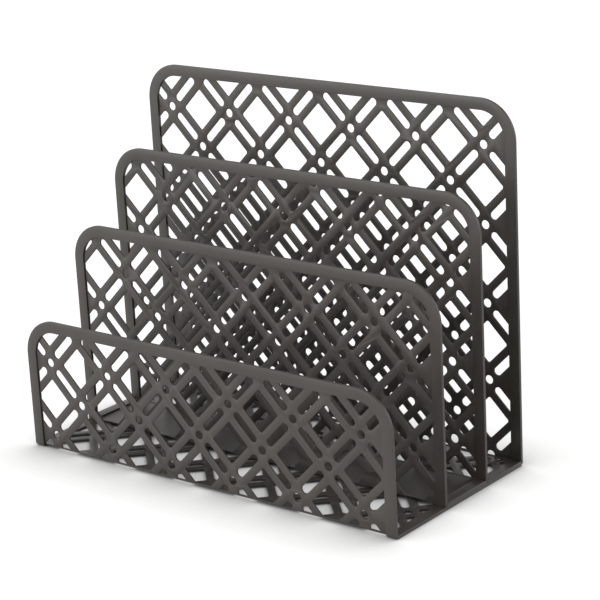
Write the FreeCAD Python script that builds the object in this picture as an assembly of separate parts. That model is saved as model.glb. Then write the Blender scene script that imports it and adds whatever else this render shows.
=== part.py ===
import FreeCAD, Part
import math
import os

# Stepped envelope sorter of pierced sheet steel, four walls and three slots, in millimetres.
# X runs along the walls, Y from the lowest wall to the tallest, Z up.
# The origin is on the floor, under the middle of the object.

V = FreeCAD.Vector

# Overall sizes
body_width = 165.0
front_wall_height = 50.2
second_wall_height = 79.2
third_wall_height = 103.1
rear_wall_height = 130.6
front_slot_depth = 28.4
middle_slot_depth = 24.4
rear_slot_depth = 22.3

# Sheet steel, its rim bands and the strips along the sides of the floors
sheet_thickness = 0.6
bend_inner_radius = 0.3
band_thickness = 0.6
band_width = 4.2
corner_radius = 14.0

# Pierced lattice: round holes and diamonds take turns on a square grid, slots lie between the round holes
lattice_step = 14.1
round_hole_diameter = 3.2
diamond_half_diagonal = 7.9
diamond_corner_radius = 0.8
slot_length = 12.4
slot_width = 3.0
first_column_from_left = 10.9
front_row_below_top = 16.1
second_row_below_top = 16.9
third_row_below_top = 17.5
rear_row_below_top = 16.2
# The base floor is pierced alike, from a round hole this far from its left side and behind the front wall
floor_column_from_left = 15.1
floor_row_behind_front = 18.6
# An opening cut short by the rim is pierced only if this share of it is left
least_opening_share = 0.14

# Sizes that follow
half_width = body_width / 2
window_radius = corner_radius - band_width
bend_outer_radius = bend_inner_radius + sheet_thickness
# Height of each floor's underside: the base floor lies on the band, the divider's floor on the base floor
base_underside = band_thickness
divider_underside = base_underside + sheet_thickness
# Height of each wall's foot, where its bend into the floor begins
base_foot = base_underside + bend_outer_radius
divider_foot = divider_underside + bend_outer_radius
whole_depth = band_thickness + front_slot_depth + middle_slot_depth + rear_slot_depth + sheet_thickness
# Front face of each wall's sheet, from the front of the object backwards
front_sheet_y = band_thickness - whole_depth / 2
second_sheet_y = front_sheet_y + front_slot_depth
third_sheet_y = second_sheet_y + middle_slot_depth
rear_sheet_y = third_sheet_y + rear_slot_depth


class Lattice:
    """The pierced pattern of one sheet, set by one round hole at column 0 and row 0 of the grid."""

    def __init__(self, column_x, row_v):
        self.column_x = column_x
        self.row_v = row_v

    def grid_range(self, start, low, high):
        first = math.floor((low - start) / lattice_step) - 1
        last = math.ceil((high - start) / lattice_step) + 1
        return range(first, last + 1)

    def openings(self, low_v, high_v):
        """Every opening that may reach the strip between two heights, as flat faces."""
        faces = []
        for column in self.grid_range(self.column_x, -half_width, half_width):
            for row in self.grid_range(self.row_v, low_v, high_v):
                place = V(self.column_x + column * lattice_step, self.row_v + row * lattice_step, 0)
                even = (column + row) % 2 == 0
                faces.append(round_hole(place) if even else diamond(place))
                middle = place + V(lattice_step / 2, lattice_step / 2, 0)
                faces.append(slot(middle, 45 if even else -45))
        return faces


def face_of(edges):
    return Part.Face(Part.Wire(edges))


def round_hole(place):
    return face_of([Part.Circle(place, V(0, 0, 1), round_hole_diameter / 2).toShape()])


def diamond(place):
    """A square stood on its corner, with rounded corners."""
    edges = []
    # the arc in each corner starts and ends this far from the corner, and bulges this far from the centre
    cut = diamond_corner_radius
    crown = diamond_half_diagonal - diamond_corner_radius * (math.sqrt(2) - 1)
    corners = [V(math.cos(turn), math.sin(turn), 0) for turn in (0, math.pi / 2, math.pi, 1.5 * math.pi)]
    points = []
    for number, corner in enumerate(corners):
        before = corners[number - 1]
        after = corners[(number + 1) % 4]
        tip = corner * diamond_half_diagonal
        arc_start = tip + (before - corner).normalize() * cut
        arc_end = tip + (after - corner).normalize() * cut
        points.append((arc_start, corner * crown, arc_end))
    for number, (arc_start, arc_middle, arc_end) in enumerate(points):
        edges.append(Part.Arc(place + arc_start, place + arc_middle, place + arc_end).toShape())
        next_start = points[(number + 1) % 4][0]
        edges.append(Part.LineSegment(place + arc_end, place + next_start).toShape())
    return face_of(edges)


def slot(place, angle):
    """A slot with round ends, turned by an angle in degrees."""
    radius = slot_width / 2
    reach = slot_length / 2 - radius
    right_top, right_bottom = V(reach, radius, 0), V(reach, -radius, 0)
    left_top, left_bottom = V(-reach, radius, 0), V(-reach, -radius, 0)
    edges = [
        Part.LineSegment(left_top, right_top).toShape(),
        Part.Arc(right_top, V(slot_length / 2, 0, 0), right_bottom).toShape(),
        Part.LineSegment(right_bottom, left_bottom).toShape(),
        Part.Arc(left_bottom, V(-slot_length / 2, 0, 0), left_top).toShape(),
    ]
    face = face_of(edges)
    face.Placement = FreeCAD.Placement(place, FreeCAD.Rotation(V(0, 0, 1), angle))
    return face


def arch(inset, foot, high, radius):
    """The outline of a wall: straight sides and foot, and round upper corners."""
    side = half_width - inset
    top = high - inset
    lean = radius * (1 - math.sqrt(0.5))
    points = {
        "foot_left": V(-side, foot, 0), "foot_right": V(side, foot, 0),
        "right_start": V(side, top - radius, 0), "right_middle": V(side - lean, top - lean, 0),
        "right_end": V(side - radius, top, 0), "left_start": V(radius - side, top, 0),
        "left_middle": V(lean - side, top - lean, 0), "left_end": V(-side, top - radius, 0),
    }
    return face_of([
        Part.LineSegment(points["foot_left"], points["foot_right"]).toShape(),
        Part.LineSegment(points["foot_right"], points["right_start"]).toShape(),
        Part.Arc(points["right_start"], points["right_middle"], points["right_end"]).toShape(),
        Part.LineSegment(points["right_end"], points["left_start"]).toShape(),
        Part.Arc(points["left_start"], points["left_middle"], points["left_end"]).toShape(),
        Part.LineSegment(points["left_end"], points["foot_left"]).toShape(),
    ])


def rectangle(left, right, low, high):
    corners = [V(left, low, 0), V(right, low, 0), V(right, high, 0), V(left, high, 0)]
    return Part.Face(Part.makePolygon(corners + corners[:1]))


def pierce(sheet, window, lattice):
    """Cuts the lattice out of a flat sheet, inside its window."""
    box = window.BoundBox
    kept = []
    for opening in lattice.openings(box.YMin, box.YMax):
        size = opening.BoundBox
        inside = (size.XMin > box.XMin + window_radius and size.XMax < box.XMax - window_radius
                  and size.YMin > box.YMin and size.YMax < box.YMax)
        if not inside:
            full_area = opening.Area
            opening = opening.common(window)
            if opening.Area < least_opening_share * full_area:
                continue
        kept.extend(opening.Faces)
    return sheet.cut(Part.makeCompound(kept))


def thicken(face, thickness):
    """Solid of a flat face; a positive thickness grows it towards its front."""
    return face.extrude(V(0, 0, thickness))


def stand_up(shape, y):
    """Turns a flat blank into a wall whose front face is at y."""
    shape = shape.copy()
    shape.Placement = FreeCAD.Placement(V(0, y, 0), FreeCAD.Rotation(V(1, 0, 0), 90))
    return shape


def bend(centre_y, foot, inner, thickness, forward, left, right):
    """A quarter turn between a wall's foot and the floor; forward says that the wall stands in front of it."""
    outer = inner + thickness
    side = -1 if forward else 1
    slant = math.sqrt(0.5)

    def point(radius, across, down):
        return V(left, centre_y + side * radius * across, foot - radius * down)

    edges = [
        Part.Arc(point(outer, 1, 0), point(outer, slant, slant), point(outer, 0, 1)).toShape(),
        Part.LineSegment(point(outer, 0, 1), point(inner, 0, 1)).toShape(),
        Part.Arc(point(inner, 0, 1), point(inner, slant, slant), point(inner, 1, 0)).toShape(),
        Part.LineSegment(point(inner, 1, 0), point(outer, 1, 0)).toShape(),
    ]
    return face_of(edges).extrude(V(right - left, 0, 0))


def join(shapes):
    solid = shapes[0].fuse(shapes[1:]).removeSplitter()
    return solid.Solids[0] if len(solid.Solids) == 1 else solid


def wall_sheet(height, foot, row_below_top, columns_shifted, y):
    """The pierced upright part of a sheet, from its foot to its top."""
    shift = lattice_step if columns_shifted else 0
    lattice = Lattice(first_column_from_left - half_width + shift, height - row_below_top)
    face = arch(0, foot, height, corner_radius)
    window = arch(band_width, foot, height, window_radius)
    return stand_up(thicken(pierce(face, window, lattice), -sheet_thickness), y)


def wall_band(height, foot, y):
    """The flat rim band on the front of a wall, down to its foot."""
    outside = arch(0, foot, height, corner_radius)
    window = arch(band_width, foot, height, window_radius)
    return stand_up(thicken(outside.cut(window), band_thickness), y)


def floor_sheet(start_y, end_y, underside, lattice):
    """A floor with the bend at either end, pierced where a lattice is given."""
    face = rectangle(-half_width, half_width, start_y, end_y)
    if lattice:
        window = rectangle(band_width - half_width, half_width - band_width, start_y, end_y)
        face = pierce(face, window, lattice)
    flat = thicken(face, sheet_thickness)
    flat.translate(V(0, 0, underside))
    foot = underside + bend_outer_radius
    ends = [bend(y, foot, bend_inner_radius, sheet_thickness, forward, -half_width, half_width)
            for y, forward in ((start_y, True), (end_y, False))]
    return join([flat] + ends)


def side_strips(start_y, end_y, low):
    """Both flat strips along the sides of a floor."""
    length = end_y - start_y
    strips = []
    for left in (-half_width, half_width - band_width):
        strips.append(Part.makeBox(band_width, length, band_thickness, V(left, start_y, low)))
    return strips


def turned_band(band, centre_y, foot, inner):
    """The front wall's rim band with the foot of either side turned under the floor."""
    turns = [bend(centre_y, foot, inner, band_thickness, True, left, left + band_width)
             for left in (-half_width, half_width - band_width)]
    return join([band] + turns)


def base_nodes():
    """The lowest wall, the pierced floor under all three slots and the tallest wall, with their bands."""
    start_y = front_sheet_y + bend_outer_radius
    end_y = rear_sheet_y - bend_inner_radius
    floor_top = base_underside + sheet_thickness
    lattice = Lattice(floor_column_from_left - half_width, front_sheet_y + floor_row_behind_front)
    front_band = wall_band(front_wall_height, base_foot, front_sheet_y)
    left_runner, right_runner = side_strips(start_y, end_y, 0)
    left_band, right_band = side_strips(third_sheet_y + sheet_thickness, end_y, floor_top)
    return {
        "front_wall_sheet": wall_sheet(front_wall_height, base_foot, front_row_below_top, False, front_sheet_y),
        "base_floor_sheet": floor_sheet(start_y, end_y, base_underside, lattice),
        "rear_wall_sheet": wall_sheet(rear_wall_height, base_foot, rear_row_below_top, False, rear_sheet_y),
        "front_rim_band": turned_band(front_band, start_y, base_foot, bend_outer_radius),
        "rear_rim_band": wall_band(rear_wall_height, floor_top + band_thickness, rear_sheet_y),
        "base_runner_left": left_runner,
        "base_runner_right": right_runner,
        "rear_side_band_left": left_band,
        "rear_side_band_right": right_band,
    }


def divider_nodes():
    """The two middle walls and the plain floor between them, which stand on the base floor."""
    start_y = second_sheet_y + bend_outer_radius
    end_y = third_sheet_y - bend_inner_radius
    floor_top = divider_underside + sheet_thickness
    left_band, right_band = side_strips(start_y, end_y, floor_top)
    return {
        "second_wall_sheet": wall_sheet(second_wall_height, divider_foot, second_row_below_top, True,
                                        second_sheet_y),
        "middle_floor_sheet": floor_sheet(start_y, end_y, divider_underside, None),
        "third_wall_sheet": wall_sheet(third_wall_height, divider_foot, third_row_below_top, True,
                                       third_sheet_y),
        "second_rim_band": wall_band(second_wall_height, divider_underside, second_sheet_y),
        "third_rim_band": wall_band(third_wall_height, floor_top + band_thickness, third_sheet_y),
        "middle_side_band_left": left_band,
        "middle_side_band_right": right_band,
    }


def build():
    return {**base_nodes(), **divider_nodes()}


os.makedirs("parts", exist_ok=True)
for name, shape in build().items():
    box = shape.BoundBox
    print(name, shape.isValid(), len(shape.Solids), f"{shape.Volume:.1f}",
          f"{box.XMin:.2f} {box.XMax:.2f} {box.YMin:.2f} {box.YMax:.2f} {box.ZMin:.2f} {box.ZMax:.2f}")
    shape.exportStep(f"parts/{name}.step")
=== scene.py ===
"""Looks, light and camera for a stepped desk sorter of pierced and painted sheet steel."""
import logging
import math
from collections.abc import Callable
from dataclasses import dataclass, field
from enum import Enum

import bmesh
import bpy
from mathutils import Matrix, Vector


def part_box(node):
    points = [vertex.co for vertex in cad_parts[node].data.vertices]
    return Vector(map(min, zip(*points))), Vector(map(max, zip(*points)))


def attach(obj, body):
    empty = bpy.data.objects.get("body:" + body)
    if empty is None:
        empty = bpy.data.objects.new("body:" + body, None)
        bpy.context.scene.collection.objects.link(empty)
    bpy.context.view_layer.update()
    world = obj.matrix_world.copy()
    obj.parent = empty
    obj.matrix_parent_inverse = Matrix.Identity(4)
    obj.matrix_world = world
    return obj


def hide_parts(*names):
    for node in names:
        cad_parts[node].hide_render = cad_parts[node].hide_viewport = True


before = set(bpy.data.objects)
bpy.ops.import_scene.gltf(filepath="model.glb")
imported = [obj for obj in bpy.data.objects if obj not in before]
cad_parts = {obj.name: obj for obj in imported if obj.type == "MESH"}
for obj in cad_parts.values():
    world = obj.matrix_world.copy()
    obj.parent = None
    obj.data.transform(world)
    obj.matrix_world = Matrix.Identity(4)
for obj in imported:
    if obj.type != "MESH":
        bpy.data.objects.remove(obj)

logging.basicConfig(level=logging.INFO, format="%(message)s")
LOG = logging.getLogger("sorter")

MM = 0.001
# edges turned by more than the first angle are rounded, and faces within the second are shaded as one
SHARP = math.radians(40)
SMOOTH = math.radians(35)
CAD_MERGE = 0.0005 * MM
CORNER_MERGE = 0.0001 * MM
SPIN_MERGE = 0.001 * MM
NEAR = 0.01 * MM
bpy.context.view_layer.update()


class Slot(Enum):
    """The material slots that the pieces take their finish from."""

    SHEET = "painted_sheet"
    BAND = "painted_band"


class Foot(Enum):
    """How a rim band ends at the foot of its wall."""

    STANDING = "stands on the floor or on its side band"
    TURNED = "turns round the outside of the bend, under the floor"


def clear_selection() -> None:
    """Deselects every object, so that an operator acts only on what is chosen next."""
    bpy.ops.object.select_all(action="DESELECT")


def choose(piece: bpy.types.Object) -> None:
    """Makes one object the only selected and active one.

    Args:
        piece: The object that the next operators act on.
    """
    clear_selection()
    piece.select_set(True)
    bpy.context.view_layer.objects.active = piece


def select_where(piece: bpy.types.Object, mode: str, test: Callable) -> None:
    """Selects the vertices, edges or faces of a mesh in edit mode that pass a test.

    Args:
        piece: The object in edit mode.
        mode: VERT, EDGE or FACE.
        test: A function of one mesh element that says whether to select it.
    """
    bpy.ops.mesh.select_mode(type=mode)
    bpy.ops.mesh.select_all(action="DESELECT")
    mesh = bmesh.from_edit_mesh(piece.data)
    elements = {"VERT": mesh.verts, "EDGE": mesh.edges, "FACE": mesh.faces}[mode]
    for element in elements:
        if test(element):
            element.select_set(True)
    mesh.select_flush_mode()
    bmesh.update_edit_mesh(piece.data)


def apply_modifiers(piece: bpy.types.Object) -> None:
    """Applies every modifier of an object in turn.

    Args:
        piece: The object whose modifiers are made part of its mesh.
    """
    choose(piece)
    for modifier in list(piece.modifiers):
        bpy.ops.object.modifier_apply(modifier=modifier.name)


def soften_node(name: str, edge_round: float, steps: int) -> bpy.types.Object:
    """Copies a node, merges its faces and rounds its edges, as punching, deburring and paint do.

    Args:
        name: The CAD node to copy.
        edge_round: How far each edge is taken back, in metres.
        steps: The number of faces across a rounded edge.

    Returns:
        The new piece, in the node's place.
    """
    piece = bpy.data.objects.new(f"soft_{name}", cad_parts[name].data.copy())
    bpy.context.scene.collection.objects.link(piece)
    choose(piece)
    bpy.ops.object.mode_set(mode="EDIT")
    bpy.ops.mesh.select_all(action="SELECT")
    bpy.ops.mesh.remove_doubles(threshold=CAD_MERGE)
    bpy.ops.mesh.dissolve_limited(angle_limit=math.radians(0.5))
    bpy.ops.object.mode_set(mode="OBJECT")
    bevel = piece.modifiers.new("soft_edge", "BEVEL")
    bevel.width = edge_round
    bevel.segments = steps
    bevel.limit_method = "ANGLE"
    bevel.angle_limit = SHARP
    bevel.use_clamp_overlap = False
    apply_modifiers(piece)
    # where two rounded edges meet, some corners lie on each other and are made one
    bpy.ops.object.mode_set(mode="EDIT")
    bpy.ops.mesh.select_all(action="SELECT")
    bpy.ops.mesh.remove_doubles(threshold=CORNER_MERGE)
    bpy.ops.mesh.dissolve_degenerate(threshold=CORNER_MERGE)
    bpy.ops.object.mode_set(mode="OBJECT")
    bpy.ops.object.shade_smooth_by_angle(angle=SMOOTH)
    return piece


@dataclass(frozen=True)
class SatinPaint:
    """Satin bronze grey paint, sprayed on sheet steel: a faint orange peel, and cloudier and duller patches.

    The tones are linear colours; the sizes are in metres.
    """

    name: str
    dark: tuple[float, float, float]
    light: tuple[float, float, float]
    roughness: float = 0.42
    roughness_spread: float = 0.07
    cloud_size: float = 0.03
    peel_size: float = 0.0011
    grain_size: float = 0.00022
    bump: float = 0.25

    def build(self) -> bpy.types.Material:
        """Makes the paint as a node material.

        Returns:
            The finished material.
        """
        material = bpy.data.materials.new(self.name)
        material.use_nodes = True
        nodes, links = material.node_tree.nodes, material.node_tree.links
        shader = nodes["Principled BSDF"]
        place = nodes.new("ShaderNodeTexCoord")

        clouds = self._noise(nodes, links, place, 1 / self.cloud_size, 4.0)
        grain = self._noise(nodes, links, place, 1 / self.grain_size, 2.0)
        peel = self._noise(nodes, links, place, 1 / self.peel_size, 2.0)

        mottle = nodes.new("ShaderNodeMath")
        mottle.operation = "MULTIPLY_ADD"
        mottle.inputs[1].default_value = 0.22
        links.new(grain.outputs["Fac"], mottle.inputs[0])
        links.new(clouds.outputs["Fac"], mottle.inputs[2])
        tone = nodes.new("ShaderNodeValToRGB")
        tone.color_ramp.elements[0].position = 0.42
        tone.color_ramp.elements[0].color = (*self.dark, 1)
        tone.color_ramp.elements[1].position = 0.78
        tone.color_ramp.elements[1].color = (*self.light, 1)
        links.new(mottle.outputs[0], tone.inputs["Fac"])
        links.new(tone.outputs["Color"], shader.inputs["Base Color"])

        dullness = nodes.new("ShaderNodeMapRange")
        dullness.inputs["From Min"].default_value = 0.3
        dullness.inputs["From Max"].default_value = 0.7
        dullness.inputs["To Min"].default_value = self.roughness - self.roughness_spread
        dullness.inputs["To Max"].default_value = self.roughness + self.roughness_spread
        links.new(clouds.outputs["Fac"], dullness.inputs["Value"])
        links.new(dullness.outputs["Result"], shader.inputs["Roughness"])

        ripple = nodes.new("ShaderNodeBump")
        ripple.inputs["Strength"].default_value = self.bump
        ripple.inputs["Distance"].default_value = 0.00004
        links.new(peel.outputs["Fac"], ripple.inputs["Height"])
        pits = nodes.new("ShaderNodeBump")
        pits.inputs["Strength"].default_value = self.bump * 0.6
        pits.inputs["Distance"].default_value = 0.000012
        links.new(grain.outputs["Fac"], pits.inputs["Height"])
        links.new(ripple.outputs["Normal"], pits.inputs["Normal"])
        links.new(pits.outputs["Normal"], shader.inputs["Normal"])

        shader.inputs["Metallic"].default_value = 0.0
        shader.inputs["Specular IOR Level"].default_value = 0.5
        return material

    @staticmethod
    def _noise(nodes: bpy.types.Nodes, links: bpy.types.NodeLinks,
               place: bpy.types.Node, scale: float, detail: float) -> bpy.types.Node:
        """Adds a noise texture on object coordinates.

        Args:
            nodes: The material's nodes.
            links: The material's links.
            place: The texture coordinate node.
            scale: How many cells there are in a metre.
            detail: How many finer layers are added.

        Returns:
            The noise node.
        """
        noise = nodes.new("ShaderNodeTexNoise")
        noise.inputs["Scale"].default_value = scale
        noise.inputs["Detail"].default_value = detail
        links.new(place.outputs["Object"], noise.inputs["Vector"])
        return noise


@dataclass
class PaintShop:
    """The two coats on the sorter: one on the pierced sheets, one on the bands and strips."""

    sheet: SatinPaint = SatinPaint("sheet_paint", (0.052, 0.045, 0.038), (0.069, 0.060, 0.051))
    band: SatinPaint = SatinPaint("band_paint", (0.055, 0.048, 0.041), (0.073, 0.064, 0.055), roughness=0.38)
    coats: dict[Slot, bpy.types.Material] = field(default_factory=dict)

    def mix(self) -> None:
        """Makes the material of each slot."""
        self.coats = {Slot.SHEET: self.sheet.build(), Slot.BAND: self.band.build()}

    def finish(self, piece: bpy.types.Object, slot: Slot, node: str) -> None:
        """Gives a piece one coat all over and puts it in its node's place.

        Args:
            piece: The modelled piece.
            slot: The coat it takes.
            node: The CAD node that it stands for.
        """
        piece.data.materials.clear()
        piece.data.materials.append(self.coats[slot])
        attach(piece, "root")
        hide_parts(node)
        LOG.info("%s: %d faces", piece.name, len(piece.data.polygons))


@dataclass
class PaintedSteel:
    """Sheets or strips that keep their node's shape and get soft edges and a coat of paint."""

    paint: PaintShop
    coat: Slot
    names: tuple[str, ...]
    edge_round: float
    edge_steps: int

    def build(self) -> None:
        """Makes each piece in its node's place."""
        for name in self.names:
            piece = soften_node(name, self.edge_round, self.edge_steps)
            self.paint.finish(piece, self.coat, name)


@dataclass
class RimBand:
    """A flat steel band round the front of a wall, with round upper corners and soft edges.

    Sizes are in metres. The band is drawn as a flat plate in the wall's plane and opened in the middle.
    """

    node: str
    foot_kind: Foot
    paint: PaintShop
    band_width: float = 4.2 * MM
    corner_radius: float = 14.0 * MM
    thickness: float = 0.6 * MM
    turn_radius: float = 0.9 * MM
    edge_round: float = 0.14 * MM
    corner_steps: int = 24
    turn_steps: int = 8

    def build(self) -> None:
        """Models the band in its node's place."""
        low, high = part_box(self.node)
        self.left, self.right = low[0], high[0]
        self.front, self.top, self.foot = low[1], high[2], low[2]
        if self.foot_kind is Foot.TURNED:
            self.foot += self.turn_radius + self.thickness
        piece = self._plate()
        self._open()
        self._thicken()
        if self.foot_kind is Foot.TURNED:
            self._turn_feet(piece)
        self._round_edges(piece)
        self.paint.finish(piece, Slot.BAND, self.node)

    def _plate(self) -> bpy.types.Object:
        """Adds the flat plate and rounds its upper corners.

        Returns:
            The plate, one face in the plane of the wall's front.
        """
        clear_selection()
        # the plate reaches below the foot by two band widths, so that opening it leaves no bar at the foot
        bottom = self.foot - 2 * self.band_width
        bpy.ops.mesh.primitive_plane_add(
            size=1, location=((self.left + self.right) / 2, self.front + self.thickness, (bottom + self.top) / 2),
            rotation=(math.radians(90), 0, 0))
        piece = bpy.context.object
        piece.name = f"soft_{self.node}"
        piece.scale = (self.right - self.left, self.top - bottom, 1)
        bpy.ops.object.transform_apply(location=True, rotation=True, scale=True)
        bpy.ops.object.mode_set(mode="EDIT")
        select_where(piece, "VERT", lambda v: v.co.z > self.top - NEAR)
        bpy.ops.mesh.bevel(offset=self.corner_radius, offset_type="OFFSET", segments=self.corner_steps,
                           profile=0.5, affect="VERTICES")
        return piece

    def _open(self) -> None:
        """Insets the plate by the band's width, takes its middle out and cuts the feet level."""
        bpy.ops.mesh.select_mode(type="FACE")
        bpy.ops.mesh.select_all(action="SELECT")
        bpy.ops.mesh.inset(thickness=self.band_width, depth=0)
        bpy.ops.mesh.delete(type="FACE")
        bpy.ops.mesh.select_all(action="SELECT")
        bpy.ops.mesh.bisect(plane_co=(0, 0, self.foot), plane_no=(0, 0, 1), clear_inner=True)

    def _thicken(self) -> None:
        """Extrudes the flat band in edit mode to its thickness, towards the front."""
        bpy.ops.mesh.select_all(action="SELECT")
        bpy.ops.mesh.extrude_region_move(TRANSFORM_OT_translate={"value": (0, -self.thickness, 0)})
        bpy.ops.mesh.select_all(action="SELECT")
        bpy.ops.mesh.normals_make_consistent(inside=False)

    def _turn_feet(self, piece: bpy.types.Object) -> None:
        """Spins both feet a quarter turn round the bend.

        Args:
            piece: The thick band, in edit mode.
        """
        centre = (0, self.front + self.thickness + self.turn_radius, self.foot)
        select_where(piece, "FACE", lambda f: abs(f.calc_center_median().z - self.foot) < NEAR
                     and abs(f.normal.z) > 0.9)
        bpy.ops.mesh.spin(steps=self.turn_steps, angle=math.radians(-90), center=centre, axis=(1, 0, 0))
        bpy.ops.mesh.select_all(action="SELECT")
        bpy.ops.mesh.remove_doubles(threshold=SPIN_MERGE)
        bpy.ops.mesh.normals_make_consistent(inside=False)

    def _round_edges(self, piece: bpy.types.Object) -> None:
        """Bevels the sharp edges, as paint rounds them, and smooths the band.

        Args:
            piece: The whole band, in edit mode.
        """
        bpy.ops.object.mode_set(mode="OBJECT")
        bevel = piece.modifiers.new("soft_edge", "BEVEL")
        bevel.width = self.edge_round
        bevel.segments = 3
        bevel.limit_method = "ANGLE"
        bevel.angle_limit = SHARP
        apply_modifiers(piece)
        bpy.ops.object.shade_smooth_by_angle(angle=SMOOTH)


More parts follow.
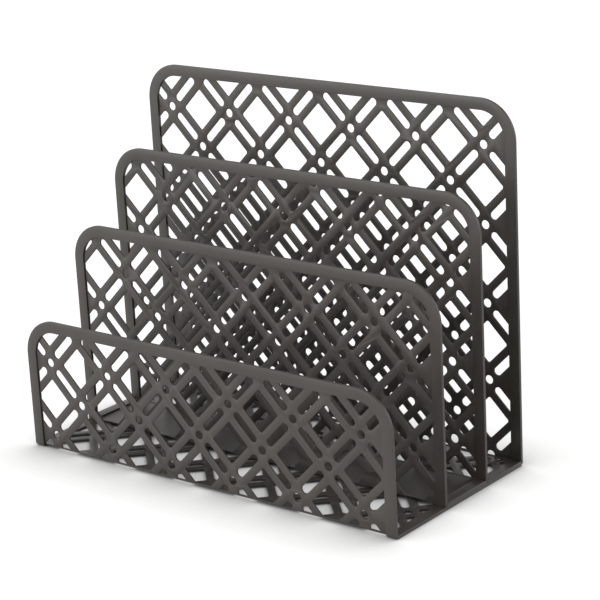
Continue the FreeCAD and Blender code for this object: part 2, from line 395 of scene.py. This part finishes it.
@dataclass
class Studio:
    """White sweep, soft lights and the camera. Sizes are in metres, angles in degrees."""

    floor_size: float = 12.0
    azimuth: float = 39.150
    elevation: float = 17.356
    roll: float = -3.014
    distance: float = 0.7163
    target: tuple[float, float, float] = (0.0298, -0.0164, 0.06796)
    focal_pixels: float = 2119.3
    frame_pixels: float = 600.0
    sensor: float = 36.0
    sky: float = 0.48
    floor_tone: float = 0.55
    floor_glow: float = 0.76
    # reach and depth of the painted shadow that darkens the floor's white glow
    painted_shadow_reach: float = 0.03
    painted_shadow_depth: float = 2.0

    def build(self) -> None:
        """Sets the floor, the sky, the lamps, the camera and the view."""
        self._floor()
        self._sky()
        self._lamp("key", (-0.8, -1.3, 0.38), 1.0, 11.0)
        self._lamp("rear", (0.9, 1.3, 0.4), 1.0, 7.0)
        self._camera()
        bpy.context.scene.view_settings.view_transform = "Standard"
        LOG.info("studio: floor, sky, lamps and camera")

    def _floor(self) -> None:
        """Lays an even pale floor that shows as white to the camera; a painted shadow darkens that white near and
        under the sorter, and the lamps' own shadow stays in the floor's shading.
        """
        clear_selection()
        bpy.ops.mesh.primitive_plane_add(size=self.floor_size, location=(0, 0, 0))
        floor = bpy.context.object
        floor.name = "studio_floor"
        material = bpy.data.materials.new("white_sweep")
        material.use_nodes = True
        nodes, links = material.node_tree.nodes, material.node_tree.links
        shader = nodes["Principled BSDF"]
        shader.inputs["Base Color"].default_value = (self.floor_tone, self.floor_tone, self.floor_tone, 1)
        shader.inputs["Roughness"].default_value = 0.9
        shader.inputs["Specular IOR Level"].default_value = 0.1
        glow = nodes.new("ShaderNodeEmission")
        glow.inputs["Color"].default_value = (1, 1, 1, 1)
        strength = nodes.new("ShaderNodeMath")
        strength.operation = "MULTIPLY"
        links.new(self._glow_with_painted_shadow(nodes, links), strength.inputs[1])
        both = nodes.new("ShaderNodeAddShader")
        links.new(self._seen(nodes, links), strength.inputs[0])
        links.new(strength.outputs[0], glow.inputs["Strength"])
        links.new(shader.outputs["BSDF"], both.inputs[0])
        links.new(glow.outputs["Emission"], both.inputs[1])
        links.new(both.outputs["Shader"], nodes["Material Output"].inputs["Surface"])
        floor.data.materials.append(material)

    def _sky(self) -> None:
        """Surrounds the scene with an even sky, white where the camera sees it."""
        world = bpy.data.worlds.new("soft_sky")
        bpy.context.scene.world = world
        world.use_nodes = True
        nodes, links = world.node_tree.nodes, world.node_tree.links
        light = nodes["Background"]
        light.inputs["Color"].default_value = (1.0, 0.99, 0.975, 1)
        light.inputs["Strength"].default_value = self.sky
        white = nodes.new("ShaderNodeBackground")
        white.inputs["Color"].default_value = (1, 1, 1, 1)
        white.inputs["Strength"].default_value = 1.0
        mix = nodes.new("ShaderNodeMixShader")
        links.new(self._seen(nodes, links), mix.inputs["Fac"])
        links.new(light.outputs["Background"], mix.inputs[1])
        links.new(white.outputs["Background"], mix.inputs[2])
        links.new(mix.outputs["Shader"], nodes["World Output"].inputs["Surface"])

    def _glow_with_painted_shadow(self, nodes: bpy.types.Nodes, links: bpy.types.NodeLinks) -> bpy.types.NodeSocket:
        """Adds nodes that give the floor's glow, darkened by a painted soft shadow near or under whatever stands
        over it.

        Args:
            nodes: The floor's nodes.
            links: Its links.

        Returns:
            The socket that carries the glow with its painted shadow.
        """
        # painted shadow: ambient occlusion, raised to a power, darkens the glow near and under the sorter
        painted_shadow = nodes.new("ShaderNodeAmbientOcclusion")
        painted_shadow.inputs["Distance"].default_value = self.painted_shadow_reach
        deeper_painted_shadow = nodes.new("ShaderNodeMath")
        deeper_painted_shadow.operation = "POWER"
        deeper_painted_shadow.inputs[1].default_value = self.painted_shadow_depth
        glow = nodes.new("ShaderNodeMath")
        glow.operation = "MULTIPLY"
        glow.inputs[1].default_value = self.floor_glow
        links.new(painted_shadow.outputs["AO"], deeper_painted_shadow.inputs[0])
        links.new(deeper_painted_shadow.outputs[0], glow.inputs[0])
        return glow.outputs[0]

    @staticmethod
    def _seen(nodes: bpy.types.Nodes, links: bpy.types.NodeLinks) -> bpy.types.NodeSocket:
        """Adds nodes that give 1 where the camera sees a surface directly, in a reflection or through glass.

        Args:
            nodes: The nodes of a material or world.
            links: Its links.

        Returns:
            The socket that carries the value.
        """
        path = nodes.new("ShaderNodeLightPath")
        reflected = nodes.new("ShaderNodeMath")
        reflected.operation = "MAXIMUM"
        seen = nodes.new("ShaderNodeMath")
        seen.operation = "MAXIMUM"
        links.new(path.outputs["Is Glossy Ray"], reflected.inputs[0])
        links.new(path.outputs["Is Transmission Ray"], reflected.inputs[1])
        links.new(path.outputs["Is Camera Ray"], seen.inputs[0])
        links.new(reflected.outputs[0], seen.inputs[1])
        return seen.outputs[0]

    def _lamp(self, name: str, place: tuple[float, float, float], size: float, power: float) -> None:
        """Hangs a square soft box that faces the middle of the sorter.

        Args:
            name: The lamp's name.
            place: Where it hangs.
            size: The side of the box.
            power: Its power in watts.
        """
        data = bpy.data.lights.new(name, "AREA")
        data.shape = "SQUARE"
        data.size = size
        data.energy = power
        lamp = bpy.data.objects.new(name, data)
        bpy.context.scene.collection.objects.link(lamp)
        lamp.location = place
        aim = Vector((0, 0, 0.05)) - Vector(place)
        lamp.rotation_euler = aim.to_track_quat("-Z", "Y").to_euler()

    def _camera(self) -> None:
        """Places the camera at the photograph's viewing angle."""
        azimuth, elevation, roll = (math.radians(v) for v in (self.azimuth, self.elevation, self.roll))
        forward = Vector((-math.sin(azimuth) * math.cos(elevation), math.cos(azimuth) * math.cos(elevation),
                          -math.sin(elevation)))
        right = Vector((math.cos(azimuth), math.sin(azimuth), 0))
        up = right.cross(forward)
        turned_right = right * math.cos(roll) + up * math.sin(roll)
        turned_up = up * math.cos(roll) - right * math.sin(roll)
        rotation = Matrix((turned_right, turned_up, -forward)).transposed()
        data = bpy.data.cameras.new("camera")
        data.sensor_width = self.sensor
        data.lens = self.focal_pixels / self.frame_pixels * self.sensor
        camera = bpy.data.objects.new("camera", data)
        bpy.context.scene.collection.objects.link(camera)
        eye = Vector(self.target) - forward * self.distance
        camera.matrix_world = Matrix.Translation(eye) @ rotation.to_4x4()
        bpy.context.scene.camera = camera


def main() -> None:
    """Builds the sorter's pieces in order, then the studio."""
    paint = PaintShop()
    paint.mix()
    sheets = ("front_wall_sheet", "base_floor_sheet", "rear_wall_sheet", "second_wall_sheet",
              "middle_floor_sheet", "third_wall_sheet")
    strips = tuple(f"{strip}_{side}" for strip in ("base_runner", "middle_side_band", "rear_side_band")
                   for side in ("left", "right"))
    PaintedSteel(paint, Slot.SHEET, sheets, edge_round=0.1 * MM, edge_steps=2).build()
    PaintedSteel(paint, Slot.BAND, strips, edge_round=0.14 * MM, edge_steps=3).build()
    RimBand("front_rim_band", Foot.TURNED, paint).build()
    for wall in ("second", "third", "rear"):
        RimBand(f"{wall}_rim_band", Foot.STANDING, paint).build()
    Studio().build()


if __name__ == "__main__":
    main()
